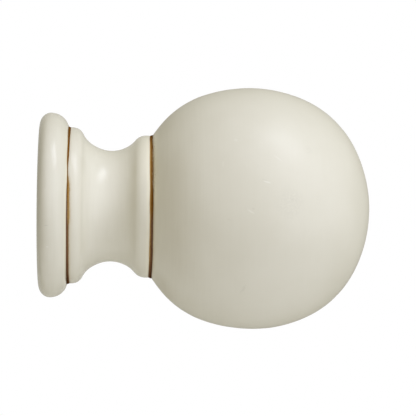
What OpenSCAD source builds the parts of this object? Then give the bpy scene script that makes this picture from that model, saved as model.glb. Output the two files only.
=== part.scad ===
// Ball finial for the end of a wooden curtain pole. One turned body carries
// two gilt lines in shallow quirks and a threaded insert sunk into its base.
// X runs along the turning axis, from the base face at x = 0 to the tip of
// the ball, and Z is up. Sizes are in millimetres and angles in degrees. The
// outline is a chain of arcs, and their angles are measured from straight
// out, positive towards the tip.

/* [Ball] */
// Length from the base face to the tip
overall_l = 116.6; // [113:0.1:119]
// Diameter of the ball at its widest place
ball_d = 85; // [76:1:95]
// Distance from the base face to the ball's widest place
ball_x = 75; // [72:0.5:79]
// Radius of the ball's belly on the side of the neck
neck_belly_r = 51.7; // [40:0.1:65]
// Angle at which that belly passes into the shoulder above the neck
neck_belly_turn = 18.7; // [5:0.1:30]
// Diameter of the ball where the line at its neck cuts it off
ball_edge_d = 50.8; // [49.6:0.1:54]
// Radius of the ball's belly on the side of the tip
tip_belly_r = 45.5; // [40:0.1:52]
// Angle at which that belly passes into the shoulder before the tip
tip_belly_turn = 26; // [10:1:38]
// Angle at which that shoulder passes into the flatter crown at the tip
crown_turn = 62.4; // [52:0.1:75]

/* [Base bead] */
// Diameter of the bead at its crown
bead_d = 65; // [64:0.5:75]
// Radius of the bead's rim, which is also the distance to its crown
bead_rim_r = 4.3; // [4.2:0.1:6]
// Radius of the bead's side towards the neck
bead_side_r = 6; // [5.9:0.1:7]

/* [Neck] */
// Diameter of the low collar beside the bead
low_collar_d = 55.3; // [50:0.1:56.5]
// Distance from the base face to the start of the low collar's shoulder
low_collar_x = 11.4; // [11.3:0.1:13.5]
// Distance from the base face to the deepest place of the cove
cove_x = 25.5; // [23.5:0.1:27.5]
// Radius of the cove's hollow
cove_r = 11.4; // [9:0.1:13]
// Diameter of the neck at the deepest place of the cove
neck_d = 39.1; // [34:0.1:43]
// Distance from the base face to the end of the high collar's shoulder
high_collar_x = 37.8; // [36.2:0.1:38.7]
// Diameter of the high collar beside the ball
high_collar_d = 50.1; // [46:0.1:51.2]

/* [Gilt lines] */
// Where the line beside the bead begins
base_line_x = 10.1; // [9.5:0.1:10.2]
// Where the line beside the ball begins
neck_line_x = 39; // [38.4:0.1:39.4]
// Width of each line
line_w = 1.1; // [0.6:0.1:1.2]
// Depth of each quirk below its collar
quirk_depth = 0.5; // [0.3:0.1:1]
// How far the gilt stays below the wood on both sides of it
gilt_recess = 0.1; // [0.05:0.05:0.2]

/* [Fixing] */
// Radius of the insert's bore: the core of an M8 thread
bore_r = 3.4; // [2.6:0.1:4.2]
// Outer diameter of the insert's barrel
barrel_d = 12; // [10.5:0.5:14]
// Length of the insert
insert_l = 18; // [12:1:24]
// Diameter of the insert's flange
flange_d = 17; // [15:0.5:20]
// Thickness of the insert's flange
flange_t = 1.5; // [1.2:0.1:2.5]
// How far the flange is sunk below the base face
sink = 0.4; // [0.2:0.1:1]
// Diameter of the hole past the insert, for the end of the stud
stud_hole_d = 8.6; // [8.5:0.1:9.5]
// Depth of that hole past the insert
stud_hole_l = 14; // [4:1:20]

/* [Hidden] */

$fn = 180;
ivory = [0.90, 0.89, 0.83];
old_gold = [0.56, 0.39, 0.18];
zinc = [0.72, 0.71, 0.68];

cut = 1;                 // how far a cutter runs past the face it cuts
chord_error = 0.01;      // how far an outline's chord may leave its arc
mouth_bevel = 0.8;       // bevel at both ends of the insert's bore
slot_w = 1.6;            // driver slot across the flange
slot_depth = 1;
drill_point = 118;       // angle of the drill's point

ball_r = ball_d / 2;
bead_r = bead_d / 2;
low_collar_r = low_collar_d / 2;
high_collar_r = high_collar_d / 2;
base_line_end = base_line_x + line_w;
neck_line_end = neck_line_x + line_w;

function outward(angle) = [cos(angle), sin(angle)];

// Centre of an arc that takes over smoothly from another one at an angle
function next_centre(centre, radius, next_radius, angle) =
    centre + (radius - next_radius) * outward(angle);

// Radius of the arc that leaves a point at an angle and passes through p
function radius_through(point, angle, p) =
    pow(norm(point - p), 2) / (2 * (point - p) * outward(angle));

function chord_count(radius, angle) =
    ceil(abs(angle) / (2 * acos(1 - chord_error / radius)));

// Points along an arc, as [radius, x]; its first point is left out, because
// each arc starts where the one before it ends
function arc(centre, radius, from, to) =
    let (n = chord_count(radius, to - from))
    [for (i = [1:n]) centre + radius * outward(from + (to - from) * i / n)];

// Bead: its rim and its side, up to the first quirk
rim_centre = [bead_r - bead_rim_r, bead_rim_r];
side_centre = [bead_r - bead_side_r, bead_rim_r];
side_end = asin((base_line_x - bead_rim_r) / bead_side_r);
bead_edge_r = side_centre[0] + bead_side_r * cos(side_end);

// Neck: each collar's rounded shoulder has the radius that lets it run
// smoothly into the cove, and they meet where the flare is steepest
cove_centre = [neck_d / 2 + cove_r, cove_x];

function shoulder_r(collar_r, collar_x) =
    let (rise = cove_centre[0] - collar_r, run = cove_x - collar_x)
    (rise * rise + run * run - cove_r * cove_r) / (2 * (cove_r - rise));

function flare(shoulder_centre) =
    let (d = cove_centre - shoulder_centre)
    atan2(d[1], d[0]);

low_shoulder_r = shoulder_r(low_collar_r, low_collar_x);
low_centre = [low_collar_r - low_shoulder_r, low_collar_x];
low_flare = flare(low_centre);
high_shoulder_r = shoulder_r(high_collar_r, high_collar_x);
high_centre = [high_collar_r - high_shoulder_r, high_collar_x];
high_flare = flare(high_centre);

// Ball, towards the neck: a belly, then the shoulder that ends at its edge
neck_belly_centre = [ball_r - neck_belly_r, ball_x];
neck_belly_end = neck_belly_centre + neck_belly_r * outward(-neck_belly_turn);
ball_edge = [ball_edge_d / 2, neck_line_end];
neck_shoulder_r = radius_through(neck_belly_end, -neck_belly_turn, ball_edge);
neck_shoulder_centre =
    next_centre(neck_belly_centre, neck_belly_r, neck_shoulder_r, -neck_belly_turn);
ball_start = asin((neck_line_end - neck_shoulder_centre[1]) / neck_shoulder_r);

// Ball, towards the tip: a belly, the shoulder that brings the crown to the
// overall length, and the crown, whose centre is on the axis
tip_belly_centre = [ball_r - tip_belly_r, ball_x];
tip_belly_end = tip_belly_centre + tip_belly_r * outward(tip_belly_turn);
crown_pitch = tan((90 - crown_turn) / 2);
tip_shoulder_r = (overall_l - tip_belly_end[1] - crown_pitch * tip_belly_end[0])
    / (1 - sin(tip_belly_turn) - crown_pitch * cos(tip_belly_turn));
tip_shoulder_centre =
    next_centre(tip_belly_centre, tip_belly_r, tip_shoulder_r, tip_belly_turn);
crown_r = tip_shoulder_r + tip_shoulder_centre[0] / cos(crown_turn);
crown_centre = [0, overall_l - crown_r];

bead_outline = concat(
    [[0, 0], [rim_centre[0], 0]],
    arc(rim_centre, bead_rim_r, -90, 0),
    arc(side_centre, bead_side_r, 0, side_end)
);

neck_outline = concat(
    [[low_collar_r - quirk_depth, base_line_x],
     [low_collar_r - quirk_depth, base_line_end],
     [low_collar_r, base_line_end],
     [low_collar_r, low_collar_x]],
    arc(low_centre, low_shoulder_r, 0, low_flare),
    arc(cove_centre, cove_r, 180 + low_flare, 180 + high_flare),
    arc(high_centre, high_shoulder_r, high_flare, 0),
    [[high_collar_r, neck_line_x],
     [high_collar_r - quirk_depth, neck_line_x],
     [high_collar_r - quirk_depth, neck_line_end]]
);

ball_outline = concat(
    [ball_edge],
    arc(neck_shoulder_centre, neck_shoulder_r, ball_start, -neck_belly_turn),
    arc(neck_belly_centre, neck_belly_r, -neck_belly_turn, 0),
    arc(tip_belly_centre, tip_belly_r, 0, tip_belly_turn),
    arc(tip_shoulder_centre, tip_shoulder_r, tip_belly_turn, crown_turn),
    arc(crown_centre, crown_r, crown_turn, 90)
);

// Turns an outline of [radius, x] points about the X axis
module turned(outline) {
    rotate([0, 90, 0]) rotate_extrude() polygon(outline);
}

// A round bar along X, or the cutter for a round hole
module round_bar(from, to, d) {
    translate([from, 0, 0]) rotate([0, 90, 0]) cylinder(d = d, h = to - from);
}

// The gilt that fills a quirk, sloping from the wood's edge on one side of it
// to the wood's edge on the other
module gilt_ring(from, start_r, end_r, floor_r) {
    turned([
        [floor_r, from],
        [start_r - gilt_recess, from],
        [end_r - gilt_recess, from + line_w],
        [floor_r, from + line_w]
    ]);
}

// The stepped hole in the base: the insert's seat, then room for the stud
module insert_hole() {
    hole_r = stud_hole_d / 2;
    hole_end = sink + insert_l + stud_hole_l;
    round_bar(-cut, sink + flange_t, flange_d);
    round_bar(sink, sink + insert_l, barrel_d);
    turned([
        [0, sink],
        [hole_r, sink],
        [hole_r, hole_end],
        [0, hole_end + hole_r / tan(drill_point / 2)]
    ]);
}

module turned_body() {
    color(ivory)
    difference() {
        turned(concat(bead_outline, neck_outline, ball_outline));
        insert_hole();
    }
}

module base_gilt_line() {
    color(old_gold)
    gilt_ring(base_line_x, bead_edge_r, low_collar_r, low_collar_r - quirk_depth);
}

module neck_gilt_line() {
    color(old_gold)
    gilt_ring(neck_line_x, high_collar_r, ball_edge[0], high_collar_r - quirk_depth);
}

module insert_bore(from, to) {
    mouth_r = bore_r + mouth_bevel + cut;
    turned([
        [0, from - cut],
        [mouth_r, from - cut],
        [bore_r, from + mouth_bevel],
        [bore_r, to - mouth_bevel],
        [mouth_r, to + cut],
        [0, to + cut]
    ]);
}

module driver_slot(from) {
    translate([from - cut, -flange_d / 2 - cut, -slot_w / 2])
        cube([cut + slot_depth, flange_d + 2 * cut, slot_w]);
}

module threaded_insert() {
    insert_end = sink + insert_l;
    color(zinc)
    difference() {
        union() {
            round_bar(sink, sink + flange_t, flange_d);
            round_bar(sink, insert_end, barrel_d);
        }
        insert_bore(sink, insert_end);
        driver_slot(sink);
    }
}

turned_body();
base_gilt_line();
neck_gilt_line();
threaded_insert();
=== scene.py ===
"""The look of a turned ball finial: its painted surface, gilt lines and threaded insert, with the stage,
lights and camera. Lengths are millimetres until a mesh is made, and MM turns them into metres. X runs along
the turning axis. An angle round the axis is in degrees, 0 at the front (-Y) and 90 at the top (+Z)."""
import math

import bpy
import numpy as np
from mathutils import Matrix, Vector


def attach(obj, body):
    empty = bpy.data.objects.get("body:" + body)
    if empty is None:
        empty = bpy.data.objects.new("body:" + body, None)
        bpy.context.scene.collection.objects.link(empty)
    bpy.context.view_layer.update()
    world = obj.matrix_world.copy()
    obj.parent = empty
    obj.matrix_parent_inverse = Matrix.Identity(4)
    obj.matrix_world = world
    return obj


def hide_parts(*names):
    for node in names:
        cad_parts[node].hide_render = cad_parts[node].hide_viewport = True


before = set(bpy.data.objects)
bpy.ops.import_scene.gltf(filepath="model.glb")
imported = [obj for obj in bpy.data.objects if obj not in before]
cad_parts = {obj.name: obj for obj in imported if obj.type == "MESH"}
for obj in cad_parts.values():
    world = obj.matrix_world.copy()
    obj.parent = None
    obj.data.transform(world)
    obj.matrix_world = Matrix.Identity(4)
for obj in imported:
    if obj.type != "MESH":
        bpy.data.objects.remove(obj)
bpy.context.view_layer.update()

MM = 0.001

# Ball
OVERALL_L = 116.6
BALL_R = 42.5
BALL_X = 75.0
NECK_BELLY_R = 51.7
NECK_BELLY_TURN = 18.7
BALL_EDGE_R = 25.4
TIP_BELLY_R = 45.5
TIP_BELLY_TURN = 26.0
CROWN_TURN = 62.4

# Base bead
BEAD_R = 32.5
BEAD_RIM_R = 4.3
BEAD_SIDE_R = 6.0

# Neck
LOW_COLLAR_R = 27.65
LOW_COLLAR_X = 11.4
COVE_X = 25.5
COVE_R = 11.4
NECK_R = 19.55
HIGH_COLLAR_X = 37.8
HIGH_COLLAR_R = 25.05

# Gilt lines, in quirks cut beside the collars
BASE_LINE_X = 10.1
NECK_LINE_X = 39.0
LINE_W = 1.1
QUIRK_DEPTH = 0.5
GILT_RECESS = 0.1
LEAST_GILT = 0.06   # width of a line where paint has nearly closed over it

# Hole in the base, with its insert
BORE_R = 3.4
BARREL_R = 6.0
INSERT_L = 18.0
FLANGE_R = 8.5
FLANGE_T = 1.5
SINK = 0.4
STUD_HOLE_R = 4.3
STUD_HOLE_L = 14.0
DRILL_POINT = 118.0
MOUTH_BEVEL = 0.8
SLOT_W = 1.6
SLOT_DEPTH = 1.0
THREAD_PITCH = 1.25
THREAD_DEPTH = 0.6
POLE_R = 24.6       # where the edge of the pole has pressed on the base face

# Mesh
BODY_SEGMENTS = 240
LINE_SEGMENTS = 480
BORE_SEGMENTS = 96
FLOOR_SEGMENTS = 64
GILT_ROWS = 12          # across a gilt line
THREAD_ROWS = 10        # along one turn of the thread
STEP = 0.6              # along the outline
HOLE_STEP = 2.0         # in the hole
FACE_STEP = 1.2         # across the base face
RIM_STEP = 0.4          # round the bead's rim
CLOSE_STEP = 0.35       # on the bead's side and beside the neck line
SHOULDER_STEP = 0.45    # on the collars' shoulders
EDGE_STEP = 0.3         # where the ball starts
EDGE_TURN = 6           # degrees of the ball's arc that are cut this finely
FINE_STEP = 0.12        # where the outline turns sharply
PAINT_R = 0.22          # rounding that the paint leaves on the collars' edges
DROOP = 0.0079          # sag of the dried-out wood off the axis, for each millimetre from the base

base_line_end = BASE_LINE_X + LINE_W
neck_line_end = NECK_LINE_X + LINE_W
insert_end = SINK + INSERT_L
low_floor_r = LOW_COLLAR_R - QUIRK_DEPTH
high_floor_r = HIGH_COLLAR_R - QUIRK_DEPTH
bead_side_end = math.degrees(math.asin((BASE_LINE_X - BEAD_RIM_R) / BEAD_SIDE_R))
bead_edge_r = BEAD_R - BEAD_SIDE_R * (1 - math.cos(math.radians(bead_side_end)))


# ---- Outlines
# Points are (x, radius). An arc's angles are measured from straight out, positive towards the tip.

def outward(angle):
    turn = math.radians(angle)
    return np.array([math.sin(turn), math.cos(turn)])


def arc(centre, radius, start, end, step=STEP):
    """Points along an arc, without its first one, where the piece before it ends."""
    count = max(2, math.ceil(abs(math.radians(end - start)) * radius / step))
    turns = [start + (end - start) * i / count for i in range(1, count + 1)]
    return [np.array(centre) + radius * outward(turn) for turn in turns]


def straight(start, end, step=STEP):
    """Points along a straight stretch, without its first one."""
    start = np.array(start)
    end = np.array(end)
    count = max(1, math.ceil(np.linalg.norm(end - start) / step))
    return [start + (end - start) * i / count for i in range(1, count + 1)]


def hole_outline():
    """From the drill's point to the edge of the hole in the base face."""
    hole_end = insert_end + STUD_HOLE_L
    corners = [
        (hole_end + STUD_HOLE_R / math.tan(math.radians(DRILL_POINT / 2)), 0),
        (hole_end, STUD_HOLE_R),
        (insert_end, STUD_HOLE_R),
        (insert_end, BARREL_R),
        (SINK + FLANGE_T, BARREL_R),
        (SINK + FLANGE_T, FLANGE_R),
        (PAINT_R, FLANGE_R),
    ]
    points = [np.array(corners[0], float)]
    for start, end in zip(corners, corners[1:]):
        points += straight(start, end, HOLE_STEP)
    return points + arc((PAINT_R, FLANGE_R + PAINT_R), PAINT_R, 180, 270, FINE_STEP)


def bead_outline():
    """Base face, the bead's rim and its side."""
    rim_centre = (BEAD_RIM_R, BEAD_R - BEAD_RIM_R)
    side_centre = (BEAD_RIM_R, BEAD_R - BEAD_SIDE_R)
    return (
        straight((0, FLANGE_R + PAINT_R), (0, BEAD_R - BEAD_RIM_R), FACE_STEP)
        + arc(rim_centre, BEAD_RIM_R, -90, 0, RIM_STEP)
        + arc(side_centre, BEAD_SIDE_R, 0, bead_side_end, CLOSE_STEP)
    )


def neck_outline():
    """Quirk, low collar, cove, high collar and quirk."""
    cove_centre = np.array([COVE_X, NECK_R + COVE_R])

    def shoulder(collar_r, collar_x):
        """Centre and radius of a collar's rounded shoulder, and the angle at which it meets the cove."""
        rise = cove_centre[1] - collar_r
        run = COVE_X - collar_x
        radius = (rise ** 2 + run ** 2 - COVE_R ** 2) / (2 * (COVE_R - rise))
        centre = np.array([collar_x, collar_r - radius])
        along, out = cove_centre - centre
        return centre, radius, math.degrees(math.atan2(along, out))

    low_centre, low_r, low_flare = shoulder(LOW_COLLAR_R, LOW_COLLAR_X)
    high_centre, high_r, high_flare = shoulder(HIGH_COLLAR_R, HIGH_COLLAR_X)
    low_edge_r = LOW_COLLAR_R - PAINT_R
    high_edge_r = HIGH_COLLAR_R - PAINT_R
    return (
        straight((BASE_LINE_X, bead_edge_r), (BASE_LINE_X, low_floor_r), FINE_STEP)
        + straight((BASE_LINE_X, low_floor_r), (base_line_end, low_floor_r), LINE_W)
        + straight((base_line_end, low_floor_r), (base_line_end, low_edge_r), FINE_STEP)
        + arc((base_line_end + PAINT_R, low_edge_r), PAINT_R, -90, 0, FINE_STEP)
        + arc(low_centre, low_r, 0, low_flare, SHOULDER_STEP)
        + arc(cove_centre, COVE_R, 180 + low_flare, 180 + high_flare)
        + arc(high_centre, high_r, high_flare, 0, SHOULDER_STEP)
        + straight((HIGH_COLLAR_X, HIGH_COLLAR_R), (NECK_LINE_X - PAINT_R, HIGH_COLLAR_R), CLOSE_STEP)
        + arc((NECK_LINE_X - PAINT_R, high_edge_r), PAINT_R, 0, 90, FINE_STEP)
        + straight((NECK_LINE_X, high_edge_r), (NECK_LINE_X, high_floor_r), FINE_STEP)
        + straight((NECK_LINE_X, high_floor_r), (neck_line_end, high_floor_r), LINE_W)
    )


def ball_outline():
    """Neck shoulder, the belly on both sides of the widest place, tip shoulder and crown."""
    neck_belly_centre = np.array([BALL_X, BALL_R - NECK_BELLY_R])
    neck_belly_end = neck_belly_centre + NECK_BELLY_R * outward(-NECK_BELLY_TURN)
    edge = np.array([neck_line_end, BALL_EDGE_R])
    across = neck_belly_end - edge
    neck_shoulder_r = across @ across / (2 * across @ outward(-NECK_BELLY_TURN))
    neck_shoulder_centre = neck_belly_end - neck_shoulder_r * outward(-NECK_BELLY_TURN)
    ball_start = math.degrees(math.asin((neck_line_end - neck_shoulder_centre[0]) / neck_shoulder_r))

    # The crown's centre is on the axis, and the tip shoulder brings it to the overall length
    tip_belly_centre = np.array([BALL_X, BALL_R - TIP_BELLY_R])
    tip_belly_end = tip_belly_centre + TIP_BELLY_R * outward(TIP_BELLY_TURN)
    turn_sine, turn_cosine = outward(TIP_BELLY_TURN)
    pitch = math.tan(math.radians((90 - CROWN_TURN) / 2))
    left_over = OVERALL_L - tip_belly_end[0] - pitch * tip_belly_end[1]
    tip_shoulder_r = left_over / (1 - turn_sine - pitch * turn_cosine)
    tip_shoulder_centre = tip_belly_end - tip_shoulder_r * outward(TIP_BELLY_TURN)
    crown_r = tip_shoulder_r + tip_shoulder_centre[1] / math.cos(math.radians(CROWN_TURN))
    return (
        straight((neck_line_end, high_floor_r), edge, FINE_STEP)
        + arc(neck_shoulder_centre, neck_shoulder_r, ball_start, ball_start + EDGE_TURN, EDGE_STEP)
        + arc(neck_shoulder_centre, neck_shoulder_r, ball_start + EDGE_TURN, -NECK_BELLY_TURN)
        + arc(neck_belly_centre, NECK_BELLY_R, -NECK_BELLY_TURN, 0)
        + arc(tip_belly_centre, TIP_BELLY_R, 0, TIP_BELLY_TURN)
        + arc(tip_shoulder_centre, tip_shoulder_r, TIP_BELLY_TURN, CROWN_TURN)
        + arc((OVERALL_L - crown_r, 0), crown_r, CROWN_TURN, 90)
    )


# ---- Meshes

def mesh_object(name, vertices, faces):
    mesh = bpy.data.meshes.new(name)
    mesh.from_pydata((np.asarray(vertices) * MM).tolist(), [], faces)
    mesh.validate()
    mesh.shade_smooth()
    made = bpy.data.objects.new(name, mesh)
    bpy.context.scene.collection.objects.link(made)
    return made


def ring_points(x, radius, sag, segments):
    """The points of one ring round the axis. x and radius may be arrays, one value a segment."""
    angles = np.arange(segments) * 2 * math.pi / segments
    x = np.broadcast_to(x, segments)
    return np.stack([x, -radius * np.cos(angles), radius * np.sin(angles) - sag], axis=1)


def turned_mesh(name, rings, segments, closed=False):
    """A mesh through rings of (x, radius, sag below the axis), turned round the axis. Its first and last ring
    are single points on the axis, or the last ring joins the first one if it is closed."""
    last = len(rings) - 1
    points = []
    starts = []
    for number, (x, radius, sag) in enumerate(rings):
        starts.append(sum(len(ring) for ring in points))
        if not closed and number in (0, last):
            points.append(np.array([[np.mean(x), 0, -sag]]))
        else:
            points.append(ring_points(x, radius, sag, segments))
    pairs = list(zip(starts, starts[1:]))
    if closed:
        pairs.append((starts[-1], starts[0]))
    faces = []
    for number, (a, b) in enumerate(pairs):
        for i in range(segments):
            j = (i + 1) % segments
            if not closed and number == 0:
                faces.append((a, b + i, b + j))
            elif not closed and number == last - 1:
                faces.append((a + j, a + i, b))
            else:
                faces.append((a + j, a + i, b + i, b + j))
    return mesh_object(name, np.concatenate(points), faces)


def angles_of(segments):
    """Angles of a ring's points in degrees, from -180 to 180."""
    degrees = np.arange(segments) * 360 / segments
    return np.where(degrees > 180, degrees - 360, degrees)


def bump(angle, centre, half_width, soft):
    """1 within half_width degrees of centre, falling smoothly to 0 over soft degrees."""
    away = np.abs((angle - centre + 180) % 360 - 180) - half_width
    share = np.clip(1 - away / soft, 0, 1)
    return share * share * (3 - 2 * share)


def wander(angle, seed, waves, fall):
    """A smooth random curve round the axis, between -1 and 1, that repeats after 360 degrees. waves says how
    many of each wave go round, and each is fall times as high as the one before it."""
    draw = np.random.default_rng(seed)
    total = np.zeros_like(angle, dtype=float)
    for number, wave in enumerate(waves):
        total += fall ** number * np.sin(np.radians(angle) * wave + draw.uniform(0, 2 * math.pi))
    return total * (1 - fall)


# How far the edges of each line stand from those of its quirk, where paint and gilt ran over them: angle, its
# edge towards the base and its edge towards the tip, positive towards the tip
BASE_LINE_EDGES = [
    (-180, 0.05, -0.10), (-152, 0.10, 0.06), (-138, 0.04, -0.22), (-110, -0.03, -0.34), (-78, -0.08, -0.32),
    (-60, -0.03, -0.42), (-46, 0.03, -0.34), (-34, 0.08, -0.29), (-24, 0.11, -0.30), (-12, 0.13, -0.31),
    (-7, 0.16, -0.23), (0, 0.21, -0.22), (8, 0.23, -0.17), (12, 0.28, -0.15),
    (16.5, 0.34, -0.34), (21, 0.36, -0.62), (26, 0.34, -0.80), (32, 0.22, -0.67), (36, 0.17, -0.54),
    (40, 0.18, -0.47), (50, 0.22, -0.41), (70, 0.11, -0.29), (96, 0.06, -0.34), (120, 0.02, -0.17),
    (150, 0.12, -0.43), (163, 0.12, -0.46),
]
NECK_LINE_EDGES = [
    (-180, -0.06, 0.04), (-150, -0.14, 0.12), (-115, -0.20, 0.02), (-72, -0.30, -0.14), (-62, -0.22, -0.04),
    (-50, -0.15, 0.09), (-40, -0.14, 0.17), (-30, -0.10, 0.16), (-20, -0.04, 0.19), (-8, -0.03, 0.18),
    (3, -0.14, 0.21), (14, -0.03, 0.15), (20, -0.03, 0.10), (27, -0.14, 0.14), (36, -0.19, 0.04),
    (42, -0.19, 0.03), (50, -0.20, -0.05), (60, -0.20, -0.10), (72, -0.25, -0.14), (100, -0.14, 0.00),
    (135, 0.00, 0.10),
]


# Fine waves on those edges: how many go round, how slowly they weaken, and their height on the two edges
EDGE_WAVES = (29, 47, 71, 103)
EDGE_FALL = 0.9
NEAR_RIPPLE = 0.012
FAR_RIPPLE = 0.035
NEAR_SEED = 3
FAR_SEED = 11


def edge_shifts(edges, angle):
    """Both edges' shifts at these angles."""
    knots, near_shifts, far_shifts = np.array(edges).T
    near = np.interp(angle, knots, near_shifts, period=360)
    far = np.interp(angle, knots, far_shifts, period=360)
    near = near + NEAR_RIPPLE * wander(angle, NEAR_SEED, EDGE_WAVES, EDGE_FALL)
    far = far + FAR_RIPPLE * wander(angle, FAR_SEED, EDGE_WAVES, EDGE_FALL)
    return near, np.maximum(far, near + LEAST_GILT - LINE_W)


PULL_REACH = 1.8    # how far from a line the wood's points move with its edges
TOUCH = 1e-6        # how close to an edge a point counts as on it


def pulled(x, start, shifts):
    """How far a point of the body moves with the edges of the line that begins at start."""
    near, far = shifts
    before = start - x
    after = x - start - LINE_W
    if -TOUCH <= before < PULL_REACH:
        return (1 - before / PULL_REACH) ** 2 * near
    if -TOUCH <= after < PULL_REACH:
        return (1 - after / PULL_REACH) ** 2 * far
    return 0 * near


# Slight unevenness of hand-sanded, turned wood under paint: waves round the axis, pitch along it and depth
UNEVEN = [
    (0, 9.0, 0.010),
    (0, 5.2, 0.006),
    (2, 46.0, 0.030),
    (3, 31.0, 0.022),
    (5, 19.0, 0.012),
]
UNEVEN_SEED = 29
CALM_R = 12         # inside this distance from the axis the unevenness dies away
FACE_END = 0.2      # up to this x the base face stays flat


def uneven(x, radius, angle):
    """The unevenness on the ring at this place, along the surface's normal."""
    draw = np.random.default_rng(UNEVEN_SEED)
    total = np.zeros_like(angle, dtype=float)
    for turns, pitch, depth in UNEVEN:
        phase = draw.uniform(0, 2 * math.pi)
        total += depth * np.sin(np.radians(angle) * turns + 2 * math.pi * x / pitch + phase)
    return total * min(1.0, radius / CALM_R)


# How far the sanded wood stands off the drawn outline: x and the distance outward
SANDED = [
    (0, 0), (1.2, 0.12), (2.1, 0.18), (3.2, 0.16), (4.2, 0.08), (5.4, 0.03), (6.6, 0.04), (8, -0.03),
    (10, -0.08), (12.6, -0.08), (14, -0.03), (14.8, -0.12), (16, -0.30), (17.8, -0.26), (19.6, -0.12),
    (22, -0.03), (32, 0.13), (34, 0.24), (35.6, 0.20), (38, 0.07), (50, 0.19), (66, 0.09), (98, 0.03),
    (112, 0),
]
SANDED_GRID = 0.1       # spacing at which the table is read
SANDED_MARGIN = 2       # how far the readings go past both ends
ROUNDING = 9            # how many readings are averaged to round the table's corners
ROUNDING_PASSES = 2


def sanded_off(x):
    """How far the sanded wood stands off the outline at these places, with the table's corners rounded."""
    grid = np.arange(-SANDED_MARGIN, OVERALL_L + SANDED_MARGIN, SANDED_GRID)
    level = np.interp(grid, *np.array(SANDED).T)
    for _ in range(ROUNDING_PASSES):
        level = np.convolve(level, np.full(ROUNDING, 1 / ROUNDING), "same")
    return np.interp(x, grid, level)


def make_body():
    """The painted wood: its sanded outline, pulled to and fro where it meets the gilt, with the hole."""
    outline = hole_outline()
    hole_points = len(outline)
    outline += bead_outline() + neck_outline() + ball_outline()
    angles = angles_of(BODY_SEGMENTS)
    base_shifts = edge_shifts(BASE_LINE_EDGES, angles)
    neck_shifts = edge_shifts(NECK_LINE_EDGES, angles)
    sanded = sanded_off([x for x, _ in outline])
    tangents = np.gradient(np.array(outline), axis=0)
    rings = []
    for number, ((x, radius), (along, out)) in enumerate(zip(outline, tangents)):
        if number < hole_points:
            rings.append((x, radius, 0))
            continue
        lift = 0 * angles
        if x > FACE_END:
            lift = (sanded[number] + uneven(x, radius, angles)) / math.hypot(along, out)
        shift = pulled(x, BASE_LINE_X, base_shifts) + pulled(x, NECK_LINE_X, neck_shifts)
        rings.append((x + shift - lift * out, radius + lift * along, DROOP * x))
    return turned_mesh("painted_body", rings, BODY_SEGMENTS)


GILT_TUCK = 0.07        # how far the gilt's edges run into the wood's paint
LUMP = 0.028            # height of the gilt's lumps
LUMP_WAVES = (7, 12, 23, 41, 67, 90)
LUMP_FALL = 0.9
LUMP_DRIFT = 3          # degrees that the lumps turn from one row to the next
LUMP_ROWS = 3           # rows with the same lumps


def make_gilt_line(name, start, start_r, end_r, floor_r, edges, crown, seed):
    """Gilt brushed into a quirk: a lumpy ring, whose middle stands a little out (crown) from its edges."""
    angles = angles_of(LINE_SEGMENTS)
    near, far = edge_shifts(edges, angles)
    first = start + near
    last = start + LINE_W + far
    floor = floor_r + 0 * angles
    sag = DROOP * start
    rings = [(first - GILT_TUCK, floor, sag)]
    for i in range(GILT_ROWS + 1):
        share = i / GILT_ROWS
        level = start_r + (end_r - start_r) * share - GILT_RECESS
        rise = crown * 4 * share * (1 - share)
        lumps = LUMP * wander(angles + LUMP_DRIFT * i, seed + i // LUMP_ROWS, LUMP_WAVES, LUMP_FALL)
        x = first - GILT_TUCK + (last - first + 2 * GILT_TUCK) * share
        rings.append((x, level + rise + lumps, sag))
    rings.append((last + GILT_TUCK, floor, sag))
    return turned_mesh(name, rings, LINE_SEGMENTS, closed=True)


INSERT_BEVEL = 0.15     # on the insert's outer corners
FLANGE_GAP = 0.05       # between the flange and its seat
BARREL_GAP = 0.02       # between the barrel and its hole
MOUTH_GAP = 0.1         # by which the bore's mouth is wider than its bevel
GROOVE_PEAK = 1.25      # depth of the groove if its flanks met in a point, in depths of the thread
GROOVE_SLOPE = 3.2      # slope of those flanks, in depths of the thread for each pitch


def make_insert():
    """Flange and barrel, with the thread cut in the bore."""
    angles = np.arange(BORE_SEGMENTS) / BORE_SEGMENTS
    bore_from = SINK + MOUTH_BEVEL
    bore_to = insert_end - MOUTH_BEVEL
    count = math.ceil((bore_to - bore_from) / THREAD_PITCH * THREAD_ROWS)
    rings = [
        (SINK, BORE_R + MOUTH_BEVEL + MOUTH_GAP),
        (SINK, FLANGE_R - INSERT_BEVEL - FLANGE_GAP),
        (SINK + INSERT_BEVEL, FLANGE_R - FLANGE_GAP),
        (SINK + FLANGE_T, FLANGE_R - FLANGE_GAP),
        (SINK + FLANGE_T, BARREL_R - BARREL_GAP),
        (insert_end - INSERT_BEVEL, BARREL_R - BARREL_GAP),
        (insert_end, BARREL_R - INSERT_BEVEL),
        (insert_end, BORE_R + MOUTH_BEVEL),
    ]
    for i in range(count, -1, -1):
        x = bore_from + (bore_to - bore_from) * i / count
        turn = (x / THREAD_PITCH - angles) % 1
        groove = np.clip(GROOVE_PEAK - GROOVE_SLOPE * np.abs(turn - 0.5), 0, 1)
        fade = min(1.0, (x - bore_from) / THREAD_PITCH, (bore_to - x) / THREAD_PITCH)
        rings.append((x, BORE_R + THREAD_DEPTH * groove * fade))
    return turned_mesh("insert", [(x, radius, 0) for x, radius in rings], BORE_SEGMENTS, closed=True)


SLOT_FLARE = 0.12       # bevel on the slot's edges
CUTTER_PAST = 1.0       # how far the slot's cutter runs past what it cuts


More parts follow.
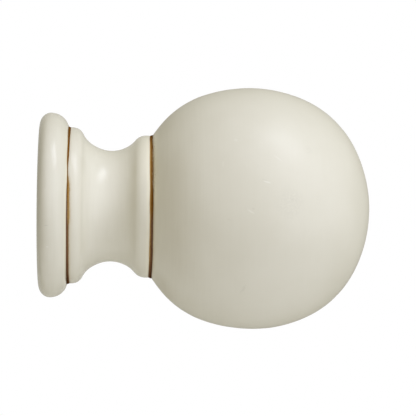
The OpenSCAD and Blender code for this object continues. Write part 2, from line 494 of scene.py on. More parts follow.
def cut_driver_slot(insert):
    """Cuts a straight slot across the flange's face, with slightly flared edges."""
    half = SLOT_W / 2
    profile = [
        (SINK - CUTTER_PAST, half + SLOT_FLARE + CUTTER_PAST),
        (SINK + SLOT_FLARE, half),
        (SINK + SLOT_DEPTH, half),
        (SINK + SLOT_DEPTH, -half),
        (SINK + SLOT_FLARE, -half),
        (SINK - CUTTER_PAST, -half - SLOT_FLARE - CUTTER_PAST),
    ]
    reach = FLANGE_R + CUTTER_PAST
    points = [(x, side * reach, z) for side in (-1, 1) for x, z in profile]
    count = len(profile)
    faces = [tuple(range(count))[::-1], tuple(range(count, 2 * count))]
    faces += [(i, (i + 1) % count, count + (i + 1) % count, count + i) for i in range(count)]
    cutter = mesh_object("slot_cutter", points, faces)
    cut = insert.modifiers.new("driver_slot", "BOOLEAN")
    cut.operation = "DIFFERENCE"
    cut.object = cutter
    cut.solver = "EXACT"
    apply_modifiers(insert)
    bpy.data.objects.remove(cutter)


def apply_modifiers(piece):
    bpy.context.view_layer.update()
    shaped = piece.evaluated_get(bpy.context.evaluated_depsgraph_get())
    made = bpy.data.meshes.new_from_object(shaped)
    piece.modifiers.clear()
    piece.data = made


def add_attribute(piece, name, values):
    attribute = piece.data.attributes.new(name, "FLOAT", "POINT")
    attribute.data.foreach_set("value", np.asarray(values, np.float32))


def places(piece):
    """Each vertex's distance along the axis and from it, in millimetres, and its angle round it."""
    found = np.empty(len(piece.data.vertices) * 3, np.float32)
    piece.data.vertices.foreach_get("co", found)
    x, y, z = found.reshape(-1, 3).T / MM
    return x, np.hypot(y, z), np.degrees(np.arctan2(z, -y))


# ---- Materials

class Graph:
    """One material's node tree, with short ways to add nodes. An input is a number, a colour or a socket."""

    def __init__(self, name):
        self.material = bpy.data.materials.new(name)
        self.material.use_nodes = True
        self.tree = self.material.node_tree
        self.tree.nodes.clear()
        self.output = self.tree.nodes.new("ShaderNodeOutputMaterial")

    def add(self, kind, inputs=(), **settings):
        node = self.tree.nodes.new("ShaderNode" + kind)
        for key, value in settings.items():
            setattr(node, key, value)
        for key, value in dict(inputs).items():
            if isinstance(value, bpy.types.NodeSocket):
                self.tree.links.new(value, node.inputs[key])
            else:
                node.inputs[key].default_value = value
        return node

    def math(self, operation, a, b=0.0):
        return self.add("Math", {0: a, 1: b}, operation=operation).outputs[0]

    def plus(self, a, b):
        return self.math("ADD", a, b)

    def minus(self, a, b):
        return self.math("SUBTRACT", a, b)

    def times(self, a, b):
        return self.math("MULTIPLY", a, b)

    def vector(self, operation, a, b=(0, 0, 0), out="Vector"):
        return self.add("VectorMath", {0: a, 1: b}, operation=operation).outputs[out]

    def mix(self, share, a, b):
        """A colour between two others."""
        return self.add("Mix", {0: share, 6: a, 7: b}, data_type="RGBA").outputs[2]

    def blend(self, share, a, b):
        """A number between two others."""
        return self.add("Mix", {0: share, 2: a, 3: b}, data_type="FLOAT").outputs[0]

    def steps(self, value, off, on):
        """0 at off, 1 at on, and smooth between them. Either may be the lower one."""
        node = self.add("MapRange", {0: value, 1: off, 2: on}, interpolation_type="SMOOTHSTEP")
        return node.outputs[0]

    def noise(self, vector, scale, detail, roughness=0.5):
        inputs = {"Vector": vector, "Scale": scale, "Detail": detail, "Roughness": roughness}
        return self.add("TexNoise", inputs).outputs["Fac"]

    def attribute(self, name):
        return self.add("Attribute", attribute_name=name).outputs["Fac"]

    def position(self):
        """The point on the piece in millimetres."""
        own = self.add("TexCoord").outputs["Object"]
        return self.add("VectorMath", {0: own, 3: 1 / MM}, operation="SCALE").outputs["Vector"]

    def streaks(self, distance, direction, spacing, scale, detail, roughness):
        """Noise drawn out round the axis, which changes with a distance along the axis or from it."""
        place = self.add("CombineXYZ", {0: self.times(distance, spacing)}).outputs[0]
        return self.noise(self.vector("ADD", place, direction), scale, detail, roughness)

    def round_axis(self, point):
        """x, the distance from the axis, and the direction from it."""
        split = self.add("SeparateXYZ", {0: point})
        flat = self.add("CombineXYZ", {1: split.outputs[1], 2: split.outputs[2]}).outputs[0]
        radius = self.vector("LENGTH", flat, out="Value")
        return split.outputs[0], radius, self.vector("NORMALIZE", flat)

    def surface(self, color, roughness, normal, **others):
        inputs = {"Base Color": color, "Roughness": roughness, "Normal": normal}
        inputs |= {key.replace("_", " "): value for key, value in others.items()}
        shader = self.add("BsdfPrincipled", inputs)
        self.tree.links.new(shader.outputs[0], self.output.inputs["Surface"])
        return self.material

    def relief(self, height):
        """A normal from a height in micrometres."""
        metres = self.times(height, 1e-6)
        return self.add("Bump", {"Height": metres, "Strength": 1.0, "Distance": 1.0}).outputs[0]


# Scuffs: distance along the axis, angle, length and width, heading off the axis in degrees, and how dark. A
# scuff below 0 is paler than the paint.
SCUFFS = [
    (78.8, 12.4, 3.4, 0.8, -14, -1.0),
    (78.0, 13.4, 3.2, 0.5, -14, 0.5),
    (87.7, 5.4, 3.4, 2.6, 0, 0.30),
    (88.8, 1.8, 7.0, 1.2, 88, 0.22),
    (73.3, -1.4, 3.6, 0.9, -31, -0.7),
    (74.1, -0.1, 1.6, 0.9, -10, 0.5),
    (68.2, 33.7, 1.7, 1.5, 0, -0.5),
    (82.4, 24.5, 4.6, 0.8, -36, -0.5),
    (93.0, 31.8, 4.6, 4.0, 20, 0.22),
    (63.8, 21.3, 3.2, 0.7, 88, -0.35),
    (71.2, -40.8, 5.6, 1.5, 68, 0.55),
    (66.3, -5.5, 3.6, 0.8, -20, 0.30),
    (87.0, 2.5, 16.0, 14.0, 0, 0.35),
    (3.4, -12.5, 1.9, 0.45, 3, 1.6),
    (3.8, -26.2, 1.1, 0.9, 0, -0.9),
    (24.0, -142.0, 3.2, 0.8, 70, 0.6),
    (60.0, 155.0, 4.0, 0.9, 25, 0.5),
    (68.5, 139.0, 3.2, 0.8, -35, -0.8),
    (84.0, -120.0, 4.0, 1.2, -50, 0.5),
    (79.0, -163.0, 4.4, 0.8, 15, -0.7),
    (97.0, 110.0, 3.2, 0.9, 35, 0.5),
]
SCUFF_DEPTH = 5.0       # extent of a scuff through the surface


def scuff_shares(graph, point, radius_at):
    """How much each place is darkened by a scuff, and how much it is lightened."""
    dark = 0.0
    light = 0.0
    for x, angle, length, width, heading, strength in SCUFFS:
        turn = math.radians(angle)
        lean = math.radians(heading)
        out = Vector((0, -math.cos(turn), math.sin(turn)))
        up = Vector((0, math.sin(turn), math.cos(turn)))
        along = Vector((1, 0, 0)) * math.cos(lean) + up * math.sin(lean)
        centre = Vector((x, 0, -DROOP * x)) + out * radius_at(x)
        away = graph.vector("SUBTRACT", point, centre)
        offsets = [
            graph.vector("DOT_PRODUCT", away, axis * (2 / size), out="Value")
            for axis, size in ((along, length), (out.cross(along), width), (out, SCUFF_DEPTH))
        ]
        u, v, w = [graph.times(offset, offset) for offset in offsets]
        spread = graph.plus(graph.plus(u, v), w)
        share = graph.times(graph.steps(spread, 1.0, 0.0), abs(strength))
        if strength > 0:
            dark = graph.plus(share, dark)
        else:
            light = graph.plus(share, light)
    return dark, light


# The paint, what lies on it or shows through it, the light and shade painted on it, and the wood in the hole
CREAM = (0.793, 0.773, 0.706, 1)
CREAM_DEEP = (0.764, 0.743, 0.671, 1)
VARNISH = (0.86, 0.85, 0.79, 1)
# glaze, also used for painted shade on the ball beside the neck
GLAZE_AND_SHADE = (0.46, 0.40, 0.26, 1)
STAIN = (0.49, 0.30, 0.05, 1)
SPECK = (0.20, 0.14, 0.06, 1)
# painted light: paler paint where the lamps fall
PAINTED_LIGHT = (0.96, 0.93, 0.82, 1)
SCUFFED = (0.50, 0.48, 0.43, 1)
CHALKED = (0.845, 0.83, 0.78, 1)
# painted shade along the base's rim
EDGE_SHADE = (0.40, 0.40, 0.375, 1)
WOOD_LIGHT = (0.52, 0.36, 0.19, 1)
WOOD_DARK = (0.33, 0.20, 0.09, 1)

# Where parts of the paint begin and are complete: along the axis, or away from it for BARE_WITHIN
FACE = (0.4, 0.05)
CALM_BALL = (48, 74)
BARE_WITHIN = (FLANGE_R + 0.3, FLANGE_R + 0.05)
BARE_BEFORE = (60, 50)  # past the hole's end, so that the tip of the ball stays painted

# How strong the parts of the paint are, as shares
CALMED = 0.7
THIN_ON_FACE = 0.35
PAINTED_LIGHT_SHARE = 0.9
SPECK_HAZE = 0.10
SCUFF_SHARE = 0.32
PRESS_SHARE = 2.0       # of the strength of a scuff

# Roughness. The renderer's denoiser treats paint on the two sides of 0.27 differently, so the glossier neck
# stays below that and the ball above it.
NECK_ROUGHNESS = 0.16
BALL_ROUGHNESS = 0.31
CLOUD_ROUGHNESS = 0.07
SCUFF_ROUGHNESS = 0.5
WOOD_ROUGHNESS = 0.75

# Relief, in micrometres
PEEL = 9.0
RIDGES = 5.0
FACE_RIDGES = 40.0
FIBRES = 120.0
SCUFF_RELIEF = 30.0


def speck_share(graph, point, specks):
    """Single dark specks, closer together where the mesh has more of them."""
    speckle = graph.noise(point, scale=3.4, detail=3, roughness=0.7)
    found = graph.steps(graph.plus(speckle, graph.times(specks, 0.26)), 0.66, 0.74)
    return graph.times(found, graph.steps(specks, 0.02, 0.5))


def press_mark(graph, point, radius, on_face):
    """The broken ring that the edge of the pole has left on the base face."""
    from_pole = graph.math("ABSOLUTE", graph.minus(radius, POLE_R))
    ring = graph.times(graph.steps(from_pole, 1.3, 0.2), graph.times(on_face, PRESS_SHARE))
    gaps = graph.noise(point, scale=0.3, detail=4, roughness=0.6)
    return graph.times(ring, graph.steps(gaps, 0.40, 0.62))


def cream_paint(radius_at):
    """Satin cream paint, faintly streaked round the axis, with a glaze and painted shade on the ball beside
    the neck, painted light beside the gilt lines and over the neck, painted shade along the base's rim, and
    bare wood inside the hole."""
    graph = Graph("cream_paint")
    point = graph.position()
    x, radius, direction = graph.round_axis(point)
    on_face = graph.steps(x, *FACE)

    # Streaks round the neck, calmer ones round the ball, and rings on the base face
    streaks = graph.streaks(x, direction, spacing=0.9, scale=1.6, detail=4, roughness=0.6)
    calm = graph.blend(CALMED, streaks, 0.5)
    streaks = graph.blend(graph.steps(x, *CALM_BALL), streaks, calm)
    face_rings = graph.streaks(radius, direction, spacing=0.8, scale=0.9, detail=5, roughness=0.75)
    streaks = graph.blend(on_face, streaks, face_rings)
    clouds = graph.noise(point, scale=0.055, detail=3)
    tone = graph.plus(graph.times(clouds, 0.6), graph.times(streaks, 0.4))
    paint = graph.mix(graph.steps(tone, 0.35, 0.65), CREAM_DEEP, CREAM)

    # Glaze with painted shade, painted shade along the base's rim, painted light, stain and specks, where the
    # mesh has them
    specks = graph.attribute("specks")
    mottle = graph.noise(point, scale=0.9, detail=4, roughness=0.65)
    stain = graph.times(graph.attribute("stain"), graph.blend(graph.steps(mottle, 0.3, 0.65), 0.6, 1.0))
    thin = graph.times(graph.steps(face_rings, 0.45, 0.72), graph.times(on_face, THIN_ON_FACE))
    # glaze with painted shade on the ball beside the neck
    paint = graph.mix(graph.attribute("glaze_and_shade"), paint, GLAZE_AND_SHADE)
    paint = graph.mix(thin, paint, GLAZE_AND_SHADE)
    # painted shade along the base's rim
    paint = graph.mix(graph.attribute("edge_shade"), paint, EDGE_SHADE)
    # painted light beside the gilt lines, over the neck and at the upper front
    paint = graph.mix(graph.times(graph.attribute("painted_light"), PAINTED_LIGHT_SHARE), paint, PAINTED_LIGHT)
    paint = graph.mix(stain, paint, STAIN)
    paint = graph.mix(graph.times(specks, SPECK_HAZE), paint, GLAZE_AND_SHADE)
    paint = graph.mix(speck_share(graph, point, specks), paint, SPECK)

    # Scuffs, and the mark of the pole
    dark, light = scuff_shares(graph, point, radius_at)
    broken = graph.steps(graph.noise(point, scale=1.3, detail=3), 0.3, 0.6)
    dark = graph.plus(dark, press_mark(graph, point, radius, on_face))
    dark = graph.times(dark, graph.times(broken, SCUFF_SHARE))
    paint = graph.mix(dark, paint, SCUFFED)
    paint = graph.mix(light, paint, CHALKED)

    # Bare wood, with its grain along the axis
    drawn_out = graph.vector("MULTIPLY", point, (0.12, 1.0, 1.0))
    grain = graph.noise(drawn_out, scale=1.6, detail=5, roughness=0.6)
    wood = graph.mix(graph.steps(grain, 0.35, 0.65), WOOD_DARK, WOOD_LIGHT)
    in_hole = graph.times(graph.steps(radius, *BARE_WITHIN), graph.steps(x, *BARE_BEFORE))
    color = graph.mix(in_hole, paint, wood)

    # The neck is glossier than the ball, and scuffs and bare wood are dull
    on_ball = graph.steps(x, NECK_LINE_X, neck_line_end)
    painted = graph.blend(on_ball, NECK_ROUGHNESS, BALL_ROUGHNESS)
    cloudy = graph.noise(point, scale=0.11, detail=3)
    painted = graph.plus(painted, graph.times(cloudy, CLOUD_ROUGHNESS))
    roughness = graph.blend(in_hole, painted, WOOD_ROUGHNESS)
    roughness = graph.plus(roughness, graph.times(dark, SCUFF_ROUGHNESS))

    # Orange peel, streaks, wood fibres and scuffs
    peel = graph.times(graph.noise(point, scale=0.8, detail=2), PEEL)
    ridges = graph.times(streaks, graph.blend(on_face, RIDGES, FACE_RIDGES))
    fibres = graph.times(graph.times(grain, in_hole), FIBRES)
    height = graph.plus(graph.plus(peel, ridges), fibres)
    height = graph.minus(height, graph.times(dark, SCUFF_RELIEF))

    # The faint coat darkens the paint where it is seen at a grazing angle
    return graph.surface(color, roughness, graph.relief(height), IOR=1.45, Coat_Weight=0.5,
                         Coat_Roughness=0.6, Coat_IOR=1.006, Coat_Tint=VARNISH)


GILT_DARK = (0.048, 0.017, 0.004, 1)
GILT_BROWN = (0.200, 0.086, 0.014, 1)
GILT_RUST = (0.165, 0.085, 0.045, 1)
GILT_BRIGHT = (0.480, 0.300, 0.105, 1)
GILT_SHEEN = (0.6, 0.4, 0.2, 1)
CHIPPED = (0.50, 0.43, 0.28, 1)
FLECK_RELIEF = 40.0     # in micrometres


def gilt(name):
    """Old gold brushed over brown: its tone comes from the mesh, broken up by fine flecks."""
    graph = Graph(name)
    point = graph.position()
    flecks = graph.noise(point, scale=2.6, detail=4, roughness=0.7)
    tone = graph.plus(graph.attribute("tone"), graph.times(graph.minus(flecks, 0.5), 0.8))
    brown = graph.mix(graph.attribute("rust"), GILT_BROWN, GILT_RUST)
    color = graph.mix(graph.steps(tone, 0.0, 0.5), GILT_DARK, brown)
    color = graph.mix(graph.steps(tone, 0.45, 1.0), color, GILT_BRIGHT)
    chips = graph.noise(point, scale=2.8, detail=2, roughness=0.6)
    chips = graph.plus(chips, graph.times(graph.attribute("chips"), 0.18))
    color = graph.mix(graph.steps(chips, 0.68, 0.74), color, CHIPPED)
    roughness = graph.blend(graph.steps(flecks, 0.35, 0.65), 0.45, 0.62)
    metallic = graph.blend(graph.steps(tone, 0.3, 0.9), 0.0, 0.3)
    normal = graph.relief(graph.times(flecks, FLECK_RELIEF))
    return graph.surface(color, roughness, normal, Metallic=metallic, Specular_IOR_Level=0.0,
                         Specular_Tint=GILT_SHEEN)


ZINC_DARK = (0.46, 0.455, 0.43, 1)
ZINC_LIGHT = (0.64, 0.64, 0.63, 1)
ZINC_GRIME = (0.24, 0.22, 0.18, 1)
ZINC_SHADE = (0.15, 0.14, 0.12, 1)
TOOL_PITCH = 0.28       # of the rings that the turning tool left
TOOL_RELIEF = 1.2       # in micrometres
CLOUD_RELIEF = 14.0
SHADED = (SINK + 0.3, SINK + 0.9)   # where the painted shade down the bore starts, and where it is darkest


def zinc_plate():
    """Dull zinc plating with the turning tool's rings on the flange, and painted shade down the bore."""
    graph = Graph("zinc_plate")
    point = graph.position()
    x, radius, _ = graph.round_axis(point)
    cloud = graph.noise(point, scale=0.5, detail=4, roughness=0.6)
    grime = graph.steps(graph.noise(point, scale=1.7, detail=5, roughness=0.65), 0.5, 0.75)
    bore_shade = graph.steps(x, *SHADED)
    color = graph.mix(cloud, ZINC_DARK, ZINC_LIGHT)
    color = graph.mix(graph.times(grime, 0.4), color, ZINC_GRIME)
    # painted shade down the bore
    color = graph.mix(graph.times(bore_shade, 0.6), color, ZINC_SHADE)
    tool = graph.math("SINE", graph.times(radius, 2 * math.pi / TOOL_PITCH))
    height = graph.plus(graph.times(tool, TOOL_RELIEF), graph.times(cloud, CLOUD_RELIEF))
    roughness = graph.blend(cloud, 0.30, 0.45)
    return graph.surface(color, roughness, graph.relief(height), Metallic=1.0)


# ---- Pieces

# Gilt smeared on the low collar: how strong it is, and its centre, half width and softness in degrees
SMEARS = [
    (0.95, 4, 14, 9),
    (0.65, -42, 34, 14),
    (0.25, 60, 25, 15),
]

# How strong everything else on the paint is. LEAST is the share of painted light away from the upper front,
# where less light falls.
BEAD_STAIN = 0.5
LOW_COLLAR_STAIN = 0.3
HIGH_COLLAR_STAIN = 0.3
BALL_STAIN = 0.7
LIGHT_BALL_LEAST = 0.35
LIGHT_COLLAR_LEAST = 0.75
LIGHT_WAIST_SHARE = 0.15
LIGHT_NECK_SHARE = 0.35
GLAZE_SHADE_FRONT_SHARE = 0.13
GLAZE_SHADE_RIM_SHARE = 0.2
EDGE_SHADE_SHARE = 0.48
SPECKED_SHARE = 0.5

# Places round the axis are a centre, a half width and a softness in degrees, and places along it (_X) are a
# centre and a width
STAINED_BEAD = (5, 70, 30)
LIT_ABOVE = (35, 25, 14)
LIT_BEAD = (0, 60, 25)
LIT_NECK = (54, 18, 28)
LIT_NECK_X = (36.5, 2)
GLAZE_SHADE_FRONT = (-5, 25, 25)
GLAZE_SHADE_FRONT_X = (47.5, 5)
CLEAR_FRONT = (0, 47, 22)
GLAZE_SHADE_RIM_X = (44, 4)
EDGE_SHADE_R = (26, 3)     # distance from the axis where the painted shade along the base's rim starts, and over how much it grows
EDGE_SHADE_X = (0, 1.4)
SPECKED = (46, 32, 16)

# Distances from a line's edge. Smears, crept gilt and specks thin out over their reach. Painted light is full
# up to its start, and then weaker over its reach.
SMEAR_REACH = 0.38
CREEP_REACH = 0.14
BALL_CREEP_REACH = 0.18
SPECK_REACH = 1.5
LIGHT_START = 0.7
LIGHT_REACH = 0.6
LIGHT_BEAD_START = 0.3
LIGHT_BEAD_REACH = 0.45
LIGHT_FROM_X = 5       # nearer to the base face no light is painted
NECK_START = 2          # over this distance past the base line, the painted light on the neck sets in
SLACK = 0.05            # how far past an edge a point still counts as beside it
FAR = 20                # beyond this distance nothing changes any more


def hill(x, centre, width):
    """1 at centre, falling smoothly to 0 on both sides."""
    return np.exp(-((x - centre) / width) ** 2)


def beside(distance, start, reach):
    """1 up to start from a line's edge, then falling off over reach, and 0 on the line's other side."""
    falling = np.exp(-np.clip(distance - start, 0, FAR) / reach)
    return np.where(distance > -SLACK, falling, 0)


def dress_body(body, radius_at):
    """Stores how much each place is stained by the gilt, lightened by painted light, glazed with painted
    shade, darkened by painted shade along the base's rim and specked, and paints the body."""
    x, radius, angle = places(body)
    base_near, base_far = edge_shifts(BASE_LINE_EDGES, angle)
    neck_near, neck_far = edge_shifts(NECK_LINE_EDGES, angle)
    before_base = BASE_LINE_X + base_near - x
    past_base = x - base_line_end - base_far
    before_neck = NECK_LINE_X + neck_near - x
    past_neck = x - neck_line_end - neck_far

    smear = sum(strength * bump(angle, *place) for strength, *place in SMEARS)
    stain = smear * beside(past_base, 0, SMEAR_REACH)
    stain += LOW_COLLAR_STAIN * beside(past_base, 0, CREEP_REACH)
    stain += BEAD_STAIN * beside(before_base, 0, CREEP_REACH) * bump(angle, *STAINED_BEAD)
    stain += HIGH_COLLAR_STAIN * beside(before_neck, 0, CREEP_REACH)
    stain += BALL_STAIN * beside(past_neck, 0, BALL_CREEP_REACH)
    add_attribute(body, "stain", np.clip(stain, 0, 1))

    # Painted light: paler paint at the upper front, beside both gilt lines and over the neck
    above = bump(angle, *LIT_ABOVE)
    on_ball = LIGHT_BALL_LEAST + (1 - LIGHT_BALL_LEAST) * above
    on_collar = LIGHT_COLLAR_LEAST + (1 - LIGHT_COLLAR_LEAST) * above
    on_neck = LIGHT_WAIST_SHARE + LIGHT_NECK_SHARE * bump(angle, *LIT_NECK) * hill(x, *LIT_NECK_X)
    painted_light = on_ball * beside(past_neck, LIGHT_START, LIGHT_REACH)
    painted_light += on_collar * beside(before_neck, LIGHT_START, LIGHT_REACH)
    painted_light += bump(angle, *LIT_BEAD) * beside(before_base, LIGHT_BEAD_START, LIGHT_BEAD_REACH)
    painted_light += on_neck * np.clip(past_base / NECK_START, 0, 1) * (before_neck > 0)
    add_attribute(body, "painted_light", painted_light * (x > LIGHT_FROM_X))

    # Glaze with painted shade on the ball beside the neck, at the front and towards the upper and lower rims
    front = bump(angle, *GLAZE_SHADE_FRONT) * hill(x, *GLAZE_SHADE_FRONT_X)
    rims = (1 - bump(angle, *CLEAR_FRONT)) * hill(x, *GLAZE_SHADE_RIM_X) * (x > neck_line_end)
    add_attribute(body, "glaze_and_shade", GLAZE_SHADE_FRONT_SHARE * front + GLAZE_SHADE_RIM_SHARE * rims)

    # Painted shade: greyer paint along the base's rim, where less light falls
    shade_from, shade_over = EDGE_SHADE_R
    edge = np.clip((radius - shade_from) / shade_over, 0, 1)
    add_attribute(body, "edge_shade", EDGE_SHADE_SHARE * edge * hill(x, *EDGE_SHADE_X))

    specks = SPECKED_SHARE * bump(angle, *SPECKED) * beside(past_neck, 0, SPECK_REACH)
    add_attribute(body, "specks", specks)
    body.data.materials.append(cream_paint(radius_at))


# How gilded each line is, by angle: for the base line a tone, and for the neck line a share of the full tone
BASE_LINE_TONES = [
    (-180, 0.45), (-150, 0.55), (-120, 0.3), (-88, 0.06), (-70, 0.10), (-55, 0.26), (-35, 0.38), (-12, 0.40),
    (17, 0.46), (30, 0.46), (42, 0.44), (52, 0.34), (66, 0.32), (80, 0.30), (100, 0.34), (140, 0.52),
]
NECK_LINE_LEVELS = [
    (-180, 0.9), (-120, 0.7), (-78, 0.3), (-60, 0.62), (-45, 0.95), (0, 0.97), (12, 0.95), (22, 0.98),
    (32, 1.10), (50, 1.15), (62, 0.9), (80, 0.45), (120, 0.8),
]
# The neck line's full tone across its width, from the collar's side to the ball's
NECK_LINE_SHARES = (0, 0.25, 0.5, 1)
NECK_LINE_TONES = (1.10, 0.76, 0.40, 0.26)
# Places round the axis: the base line's gold front and brighter rim, where each line is brown and not rusty,
# and where paint has chipped onto the neck line
GOLD_FRONT = (4, 12, 8)
BRIGHT_RIM = (-25, 50, 20)
BROWN_BASE = (90, 80, 14)
BROWN_NECK = (90, 92, 14)
CHIPPED_NECK = (46, 28, 10)
GOLD_TONE = 0.30        # tone of the gold front at its edge towards the base
GOLD_RISE = 0.62        # how much that rises towards the tip
RIM_RISE = 0.3          # how much the brighter rim adds
RIM_FROM = 0.55         # share of the line's width at which the brighter rim starts
CHIPS_FROM = 0.5        # share of the line's width at which the chips start
CHIPS_OVER = 0.3        # share of it over which they become most


def across_line(angle, x, start, edges):
    """How far across a line a point is: 0 at its edge towards the base and 1 at its edge towards the tip."""
    near, far = edge_shifts(edges, angle)
    return np.clip((x - start - near) / (LINE_W + far - near), 0, 1)


def dress_base_line(line):
    """The base line is gold at the front, brown above it and red-brown below, and dark at the bottom."""
    x, _, angle = places(line)
    share = across_line(angle, x, BASE_LINE_X, BASE_LINE_EDGES)
    front = bump(angle, *GOLD_FRONT)
    rim = np.clip((share - RIM_FROM) / (1 - RIM_FROM), 0, 1) * bump(angle, *BRIGHT_RIM)
    tone = np.interp(angle, *np.array(BASE_LINE_TONES).T, period=360) + RIM_RISE * rim
    add_attribute(line, "tone", front * (GOLD_TONE + GOLD_RISE * share) + (1 - front) * tone)
    add_attribute(line, "rust", 1 - bump(angle, *BROWN_BASE))
    add_attribute(line, "chips", 0 * angle)
    line.data.materials.append(gilt("base_gilt"))


def dress_neck_line(line):
    """The neck line is gold on the side of the collar and dark brown on the side of the ball, where paint has
    chipped onto its upper front."""
    x, _, angle = places(line)
    share = across_line(angle, x, NECK_LINE_X, NECK_LINE_EDGES)
    tone = np.interp(share, NECK_LINE_SHARES, NECK_LINE_TONES)
    level = np.interp(angle, *np.array(NECK_LINE_LEVELS).T, period=360)
    add_attribute(line, "tone", tone * level)
    chips = np.clip((share - CHIPS_FROM) / CHIPS_OVER, 0, 1) * bump(angle, *CHIPPED_NECK)
    add_attribute(line, "rust", 1 - bump(angle, *BROWN_NECK))
    add_attribute(line, "chips", chips)
    line.data.materials.append(gilt("neck_gilt"))


def finish_piece(piece, node):
    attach(piece, "root")
    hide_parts(node)


BASE_CROWN = 0.0        # how far the middle of each line stands out
NECK_CROWN = 0.16
BASE_SEED = 5           # for each line's lumps
NECK_SEED = 19
SHARP_ANGLE = 32        # the insert's edges beyond this angle stay sharp


def make_pieces():
    outline = np.array(bead_outline() + neck_outline() + ball_outline())

    def radius_at(x):
        return float(np.interp(x, *outline.T))

    body = make_body()
    dress_body(body, radius_at)
    finish_piece(body, "turned_body")

    base_line = make_gilt_line("base_line", BASE_LINE_X, bead_edge_r, LOW_COLLAR_R, low_floor_r,
                               BASE_LINE_EDGES, BASE_CROWN, BASE_SEED)
    dress_base_line(base_line)
    finish_piece(base_line, "base_gilt_line")

    neck_line = make_gilt_line("neck_line", NECK_LINE_X, HIGH_COLLAR_R, BALL_EDGE_R, high_floor_r,
                               NECK_LINE_EDGES, NECK_CROWN, NECK_SEED)
    dress_neck_line(neck_line)
    finish_piece(neck_line, "neck_gilt_line")

    insert = make_insert()
    cut_driver_slot(insert)
    insert.data.set_sharp_from_angle(angle=math.radians(SHARP_ANGLE))
    insert.data.materials.append(zinc_plate())
    finish_piece(insert, "threaded_insert")


# ---- Stage, lights and camera
# Lengths are metres here, apart from those of the camera's sensor and lens.

FLOOR_Z = -0.13
FLOOR_RADIUS = 0.7
FLOOR_FADE = (0.22, 0.55)    # where the floor gives way to the white backdrop, by distance from the middle
FLOOR_COLOR = (0.88, 0.88, 0.87, 1)
AMBIENT = (0.436, 0.405, 0.311, 1)
WHITE = (1, 1, 1, 1)

# Lamps: direction from the object (azimuth from the front towards the tip, and elevation), distance, width,
# height and watts. The key lights the paint and shows in its gloss. The card below only shows in the gloss,
# as a sheen on the underside. The others only light the paint.
COOL = (0.825, 0.866, 1)
LAMPS = {
    "key": (50, 60, 1.2, 0.45, 0.65, 4.30),
    "wide": (45, 42, 1.2, 0.9, 0.9, 3.00),
    "top": (60, 65, 1.2, 0.9, 0.9, 1.55),
    "front": (40, 15, 1.2, 0.9, 0.9, 5.40),
    "back": (188, 8, 1.2, 0.5, 0.4, 6.00),
    "card": (180, -83, 0.111, 0.4, 0.05, 0.017),
}
IN_GLOSS = ("key", "card")
ONLY_IN_GLOSS = ("card",)

VIEW_AT = (0.05961, 0, -0.00055)
VIEW_DISTANCE = 1.06
VIEW_YAW = 1.25      # degrees towards the ball's end
VIEW_ROLL = 0.56     # degrees of tilt
SENSOR = 36.0
LENS = 259.3
CLIP_START = 0.05
CLIP_END = 20


def make_floor():
    """A pale floor below the object. It is clear from below, and fades into the white backdrop."""
    outer = FLOOR_RADIUS / MM
    count = FLOOR_SEGMENTS
    points = [(0, 0, 0)]
    for radius in (outer * 0.5, outer):
        for i in range(count):
            turn = 2 * math.pi * i / count
            points.append((radius * math.cos(turn), radius * math.sin(turn), 0))
    faces = []
    for i in range(count):
        j = (i + 1) % count
        faces.append((0, 1 + i, 1 + j))
        faces.append((1 + i, 1 + count + i, 1 + count + j, 1 + j))
    floor = mesh_object("floor", points, faces)
    floor.location = (VIEW_AT[0], 0, FLOOR_Z)

    graph = Graph("pale_floor")
    below = graph.add("NewGeometry").outputs["Backfacing"]
    far = graph.vector("LENGTH", graph.add("TexCoord").outputs["Object"], out="Value")
    gone = graph.math("MAXIMUM", graph.steps(far, *FLOOR_FADE), below)
    pale = graph.add("BsdfDiffuse", {"Color": FLOOR_COLOR}).outputs[0]
    clear = graph.add("BsdfTransparent").outputs[0]
    mixed = graph.add("MixShader", {0: gone, 1: pale, 2: clear}).outputs[0]
    graph.tree.links.new(mixed, graph.output.inputs["Surface"])
    floor.data.materials.append(graph.material)


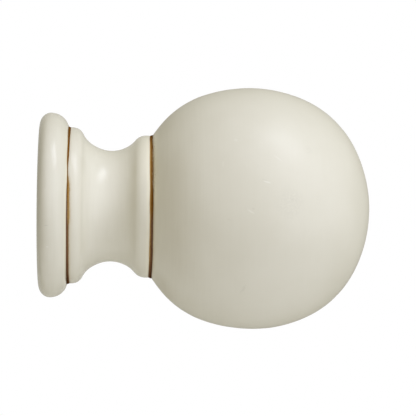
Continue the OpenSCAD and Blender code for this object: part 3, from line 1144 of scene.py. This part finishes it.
def make_world():
    """White to the camera and in reflections, and a weaker light on everything else."""
    world = bpy.data.worlds.new("studio")
    world.use_nodes = True
    tree = world.node_tree
    tree.nodes.clear()

    def background(color):
        node = tree.nodes.new("ShaderNodeBackground")
        node.inputs["Color"].default_value = color
        return node.outputs[0]

    path = tree.nodes.new("ShaderNodeLightPath")
    seen = path.outputs["Is Camera Ray"]
    for other in ("Is Glossy Ray", "Is Transmission Ray"):
        either = tree.nodes.new("ShaderNodeMath")
        either.operation = "MAXIMUM"
        tree.links.new(seen, either.inputs[0])
        tree.links.new(path.outputs[other], either.inputs[1])
        seen = either.outputs[0]
    mixed = tree.nodes.new("ShaderNodeMixShader")
    output = tree.nodes.new("ShaderNodeOutputWorld")
    tree.links.new(seen, mixed.inputs[0])
    tree.links.new(background(AMBIENT), mixed.inputs[1])
    tree.links.new(background(WHITE), mixed.inputs[2])
    tree.links.new(mixed.outputs[0], output.inputs["Surface"])
    bpy.context.scene.world = world


def make_lamp(name, azimuth, elevation, distance, width, height, watts):
    """A softbox at a direction from the object, turned to it."""
    data = bpy.data.lights.new(name, "AREA")
    data.shape = "RECTANGLE"
    data.size = width
    data.size_y = height
    data.energy = watts
    data.color = COOL
    lamp = bpy.data.objects.new(name, data)
    turn = math.radians(azimuth)
    rise = math.radians(elevation)
    towards = Vector((math.sin(turn) * math.cos(rise), -math.cos(turn) * math.cos(rise), math.sin(rise)))
    lamp.location = Vector(VIEW_AT) + towards * distance
    lamp.rotation_mode = "QUATERNION"
    lamp.rotation_quaternion = towards.to_track_quat("Z", "Y")
    lamp.visible_camera = False
    lamp.visible_glossy = name in IN_GLOSS
    lamp.visible_diffuse = name not in ONLY_IN_GLOSS
    bpy.context.scene.collection.objects.link(lamp)


def make_camera():
    """Looks at the finial's front, turned a little towards the ball and tilted a little."""
    data = bpy.data.cameras.new("camera")
    data.sensor_width = SENSOR
    data.lens = LENS
    data.clip_start = CLIP_START
    data.clip_end = CLIP_END
    camera = bpy.data.objects.new("camera", data)
    yaw = math.radians(VIEW_YAW)
    ahead = Vector((math.sin(yaw), math.cos(yaw), 0))
    upright = ahead.to_track_quat("-Z", "Y").to_matrix().to_4x4()
    roll = Matrix.Rotation(math.radians(VIEW_ROLL), 4, "Z")
    camera.matrix_world = Matrix.Translation(Vector(VIEW_AT) - ahead * VIEW_DISTANCE) @ upright @ roll
    bpy.context.scene.collection.objects.link(camera)
    bpy.context.scene.camera = camera


make_pieces()
make_floor()
make_world()
for lamp_name, setting in LAMPS.items():
    make_lamp(lamp_name, *setting)
make_camera()
bpy.context.scene.view_settings.view_transform = "Standard"
